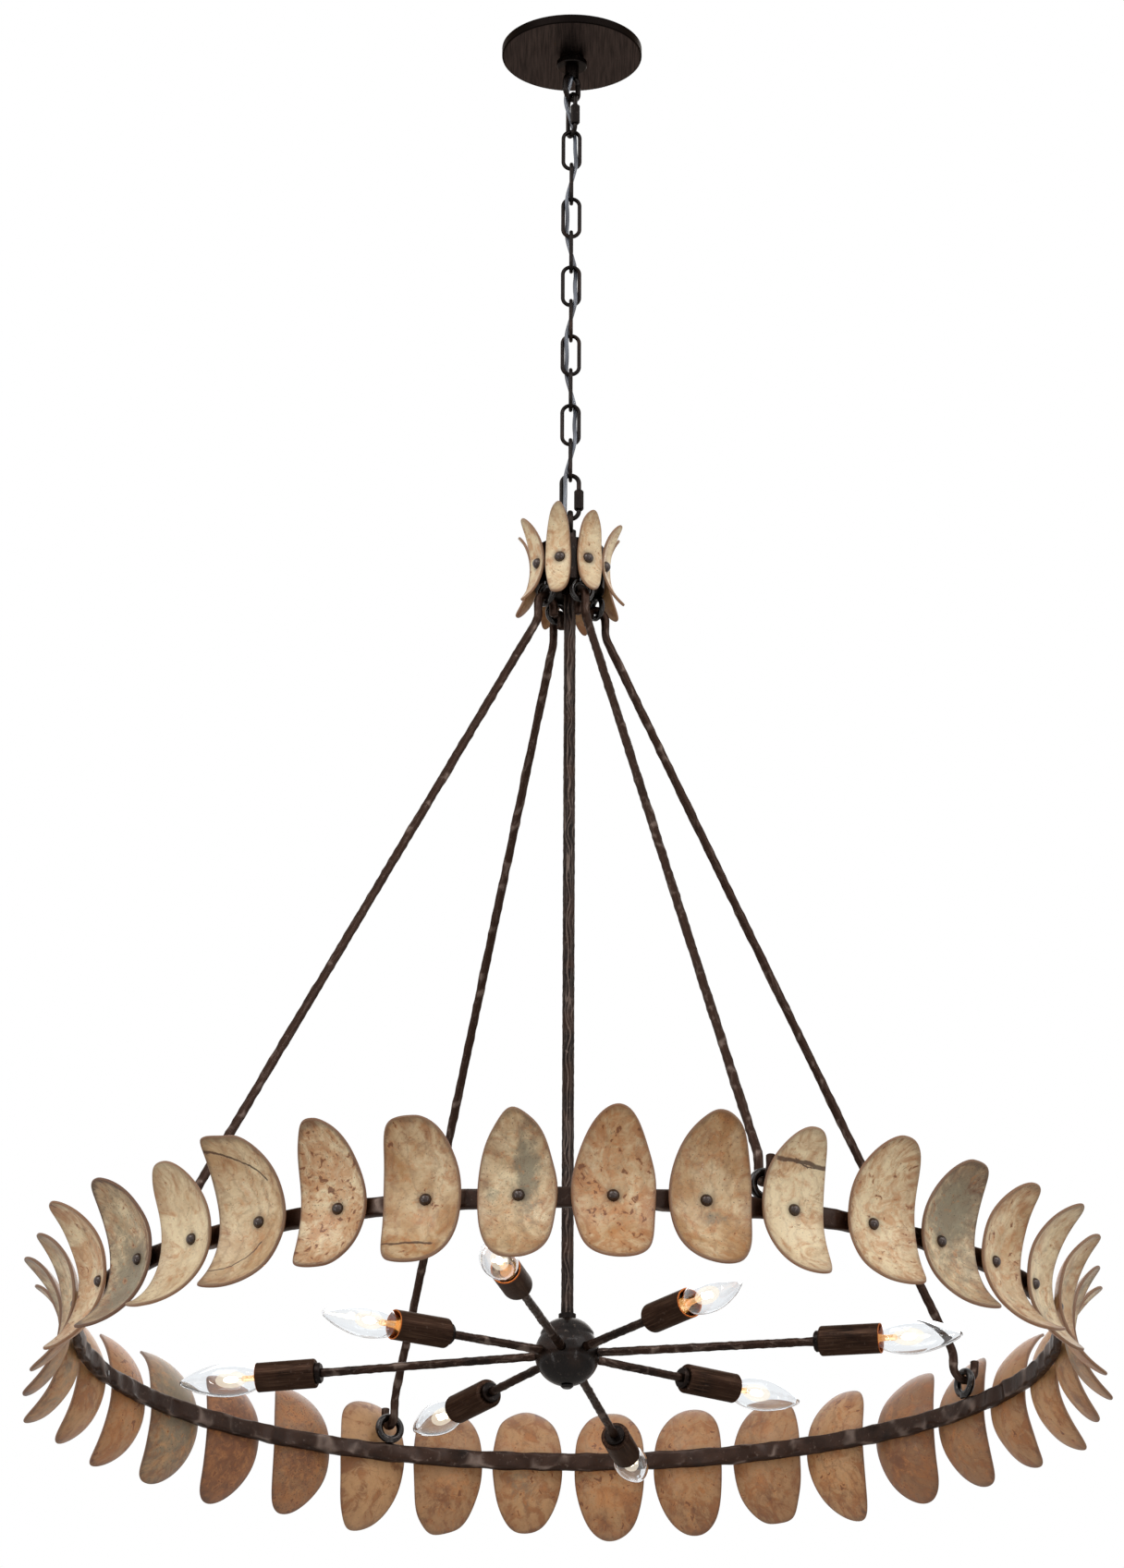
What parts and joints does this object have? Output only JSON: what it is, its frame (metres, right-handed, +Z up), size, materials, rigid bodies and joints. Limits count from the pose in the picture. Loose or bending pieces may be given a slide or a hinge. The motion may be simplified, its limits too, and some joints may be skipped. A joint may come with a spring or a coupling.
{
  "type": "chandelier",
  "caption": "Ring chandelier hung on a chain, with curved pale shells riveted round a hammered bronze ring and crown, and candle lamps on straight arms from a central ball.",
  "frame": {"origin": "centre of the ceiling plate's screw pattern, on the ceiling plane", "axes": "+Z up into the ceiling, -Y towards the viewer, +X to the viewer's right"},
  "size_m": [1.0142, 1.0178, 1.4562],
  "materials": {
    "bronze": "hammered dark bronze",
    "zinc": "zinc plated",
    "shell": "matte natural shell",
    "cable": "clear jacket over tinned strands",
    "holder": "moulded",
    "glass": "clear"
  },
  "bodies": {
    "ceiling": {"crossbar": "zinc", "nipple": "zinc", "nipple_nuts": "zinc", "earth_screw": "zinc", "ceiling_loop": "bronze", "supply_cable": "cable"},
    "collar": {"canopy_collar": "bronze"},
    "canopy": {"canopy": "bronze"},
    "upper_quick": {"upper_quick_link": "bronze"},
    "upper_screw": {"upper_sleeve": "bronze"},
    "link_01": {"chain_link_01": "bronze"},
    "link_02": {"chain_link_02": "bronze"},
    "link_03": {"chain_link_03": "bronze"},
    "link_04": {"chain_link_04": "bronze"},
    "link_05": {"chain_link_05": "bronze"},
    "link_06": {"chain_link_06": "bronze"},
    "link_07": {"chain_link_07": "bronze"},
    "link_08": {"chain_link_08": "bronze"},
    "link_09": {"chain_link_09": "bronze"},
    "link_10": {"chain_link_10": "bronze"},
    "lower_quick": {"lower_quick_link": "bronze"},
    "lower_screw": {"lower_sleeve": "bronze"},
    "fixture": {"hub_loop": "bronze", "hub_nuts": "bronze", "crown_lid": "bronze", "crown_cup": "bronze", "crown_eyes": "bronze", "crown_rivets": "bronze", "rod_1": "bronze", "rod_2": "bronze", "rod_3": "bronze", "rod_4": "bronze", "ring_bar": "bronze", "ring_eyes": "bronze", "ring_rivets": "bronze", "stem": "bronze", "stem_collars": "bronze", "stem_nut": "bronze", "ball_bowl": "bronze", "ball_lid": "bronze", "ball_finial": "bronze", "long_arms": "bronze", "short_arms": "bronze", "arm_nuts": "bronze", "socket_covers": "bronze", "crown_shells": "shell", "ring_shells_1": "shell", "ring_shells_2": "shell", "ring_shells_3": "shell", "ring_shells_4": "shell", "lampholders": "holder"},
    "bulb_1_body": {"bulb_1": "glass"},
    "bulb_2_body": {"bulb_2": "glass"},
    "bulb_3_body": {"bulb_3": "glass"},
    "bulb_4_body": {"bulb_4": "glass"},
    "bulb_5_body": {"bulb_5": "glass"},
    "bulb_6_body": {"bulb_6": "glass"},
    "bulb_7_body": {"bulb_7": "glass"},
    "bulb_8_body": {"bulb_8": "glass"}
  },
  "joints": [
    {"name": "collar_slide", "type": "slide", "parent": "ceiling", "child": "collar", "axis": [0, 0, -1], "range_m": [0, 0.024]},
    {"name": "canopy_slide", "type": "slide", "parent": "ceiling", "child": "canopy", "axis": [0, 0, -1], "range_m": [0, 0.024]},
    {"name": "upper_quick_swing", "type": "hinge", "parent": "ceiling", "child": "upper_quick", "pos_m": [0, 0, -0.05845], "axis": [0.7071, 0.7071, 0], "range_deg": [-8, 8], "deforming": ["supply_cable"]},
    {"name": "upper_sleeve_slide", "type": "slide", "parent": "upper_quick", "child": "upper_screw", "axis": [0, 0, 1], "range_m": [0, 0.0075]},
    {"name": "link_01_swing", "type": "hinge", "parent": "upper_quick", "child": "link_01", "pos_m": [0, 0, -0.1006], "axis": [0.4226, -0.9063, 0], "range_deg": [-8, 8], "deforming": ["supply_cable"]},
    {"name": "link_02_swing", "type": "hinge", "parent": "link_01", "child": "link_02", "pos_m": [0, 0, -0.13915], "axis": [1, 0, 0], "range_deg": [-8, 8], "deforming": ["supply_cable"]},
    {"name": "link_03_swing", "type": "hinge", "parent": "link_02", "child": "link_03", "pos_m": [0, 0, -0.178], "axis": [0, 1, 0], "range_deg": [-8, 8], "deforming": ["supply_cable"]},
    {"name": "link_04_swing", "type": "hinge", "parent": "link_03", "child": "link_04", "pos_m": [0, 0, -0.21685], "axis": [1, 0, 0], "range_deg": [-8, 8], "deforming": ["supply_cable"]},
    {"name": "link_05_swing", "type": "hinge", "parent": "link_04", "child": "link_05", "pos_m": [0, 0, -0.2557], "axis": [0, 1, 0], "range_deg": [-8, 8], "deforming": ["supply_cable"]},
    {"name": "link_06_swing", "type": "hinge", "parent": "link_05", "child": "link_06", "pos_m": [0, 0, -0.29455], "axis": [1, 0, 0], "range_deg": [-8, 8], "deforming": ["supply_cable"]},
    {"name": "link_07_swing", "type": "hinge", "parent": "link_06", "child": "link_07", "pos_m": [0, 0, -0.3334], "axis": [0, 1, 0], "range_deg": [-8, 8], "deforming": ["supply_cable"]},
    {"name": "link_08_swing", "type": "hinge", "parent": "link_07", "child": "link_08", "pos_m": [0, 0, -0.37225], "axis": [1, 0, 0], "range_deg": [-8, 8], "deforming": ["supply_cable"]},
    {"name": "link_09_swing", "type": "hinge", "parent": "link_08", "child": "link_09", "pos_m": [0, 0, -0.4111], "axis": [0, 1, 0], "range_deg": [-8, 8], "deforming": ["supply_cable"]},
    {"name": "link_10_swing", "type": "hinge", "parent": "link_09", "child": "link_10", "pos_m": [0, 0, -0.44995], "axis": [1, 0, 0], "range_deg": [-8, 8], "deforming": ["supply_cable"]},
    {"name": "lower_quick_swing", "type": "hinge", "parent": "link_10", "child": "lower_quick", "pos_m": [0, 0, -0.4888], "axis": [0, 1, 0], "range_deg": [-8, 8], "deforming": ["supply_cable"]},
    {"name": "lower_sleeve_slide", "type": "slide", "parent": "lower_quick", "child": "lower_screw", "axis": [0, 0, 1], "range_m": [0, 0.0075]},
    {"name": "fixture_swing", "type": "hinge", "parent": "lower_quick", "child": "fixture", "pos_m": [0, 0, -0.5317], "axis": [1, 0, 0], "range_deg": [-8, 8], "deforming": ["supply_cable"]},
    {"name": "bulb_1_slide", "type": "slide", "parent": "fixture", "child": "bulb_1_body", "axis": [-0.1805, -0.9835, -0.0105], "range_m": [0, 0.03]},
    {"name": "bulb_2_slide", "type": "slide", "parent": "fixture", "child": "bulb_2_body", "axis": [0.5875, -0.8086, 0.0332], "range_m": [0, 0.03]},
    {"name": "bulb_3_slide", "type": "slide", "parent": "fixture", "child": "bulb_3_body", "axis": [0.9658, -0.2588, -0.0175], "range_m": [0, 0.03]},
    {"name": "bulb_4_slide", "type": "slide", "parent": "fixture", "child": "bulb_4_body", "axis": [0.8337, 0.5518, -0.0227], "range_m": [0, 0.03]},
    {"name": "bulb_5_slide", "type": "slide", "parent": "fixture", "child": "bulb_5_body", "axis": [0.1903, 0.9792, -0.0698], "range_m": [0, 0.03]},
    {"name": "bulb_6_slide", "type": "slide", "parent": "fixture", "child": "bulb_6_body", "axis": [-0.5582, 0.8275, -0.061], "range_m": [0, 0.03]},
    {"name": "bulb_7_slide", "type": "slide", "parent": "fixture", "child": "bulb_7_body", "axis": [-0.9779, 0.2079, -0.0227], "range_m": [0, 0.03]},
    {"name": "bulb_8_slide", "type": "slide", "parent": "fixture", "child": "bulb_8_body", "axis": [-0.8339, -0.5519, -0.007], "range_m": [0, 0.03]}
  ],
  "couplings": [
    {"joint": "canopy_slide", "follows": "collar_slide", "ratio": 1}
  ]
}
